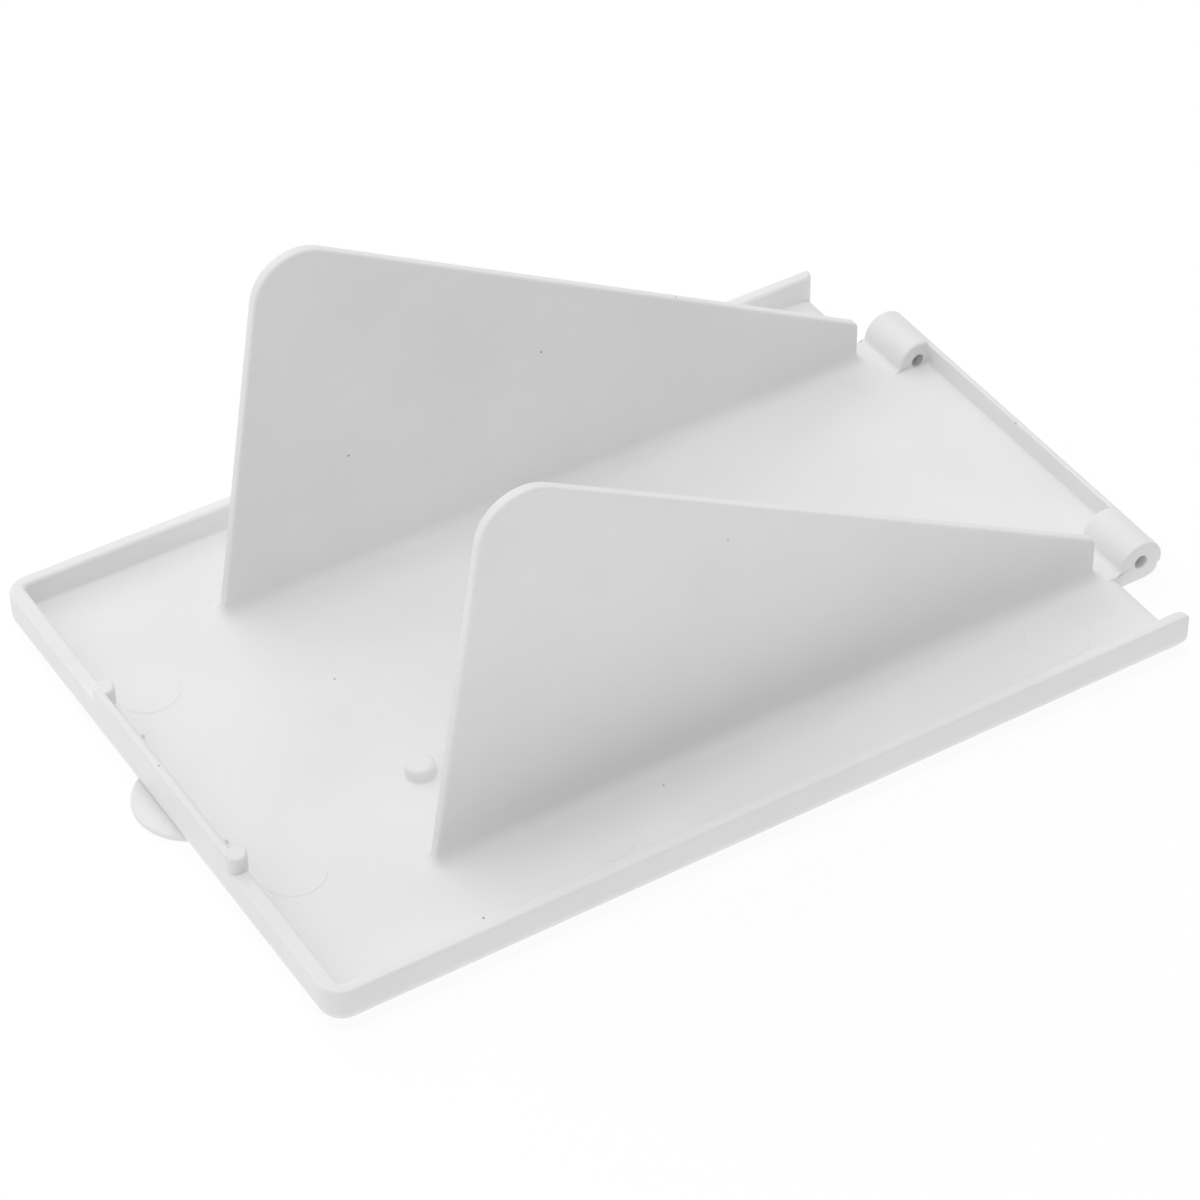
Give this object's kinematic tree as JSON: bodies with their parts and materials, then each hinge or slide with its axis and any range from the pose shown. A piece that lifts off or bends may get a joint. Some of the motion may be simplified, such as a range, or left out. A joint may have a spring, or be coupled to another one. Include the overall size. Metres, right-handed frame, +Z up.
{
  "type": "hinged tray flap",
  "caption": "White moulded flap: a shallow rimmed tray panel with two tall guide fins, a thumb tab and catch in front, and hinge barrels behind.",
  "frame": {"origin": "centre of the bounding box in plan, on the resting face under the panel", "axes": "+Y from the front rim to the hinge, +Z up from the panel, +X to the right when the panel is seen from its front rim"},
  "size_m": [0.1, 0.1546, 0.0624],
  "materials": {
    "white_abs": "satin white moulded ABS, fine even surface"
  },
  "bodies": {
    "root": {"floor_panel": "white_abs", "hinge_shelf": "white_abs", "front_rim": "white_abs", "catch_wall": "white_abs", "thumb_tab": "white_abs", "locating_peg": "white_abs", "left_rim": "white_abs", "left_fin": "white_abs", "left_catch_boss": "white_abs", "left_catch_rib": "white_abs", "right_rim": "white_abs", "right_fin": "white_abs", "right_catch_boss": "white_abs", "right_catch_rib": "white_abs", "hinge_wall": "white_abs", "left_hinge_barrel": "white_abs", "right_hinge_barrel": "white_abs"}
  },
  "joints": []
}
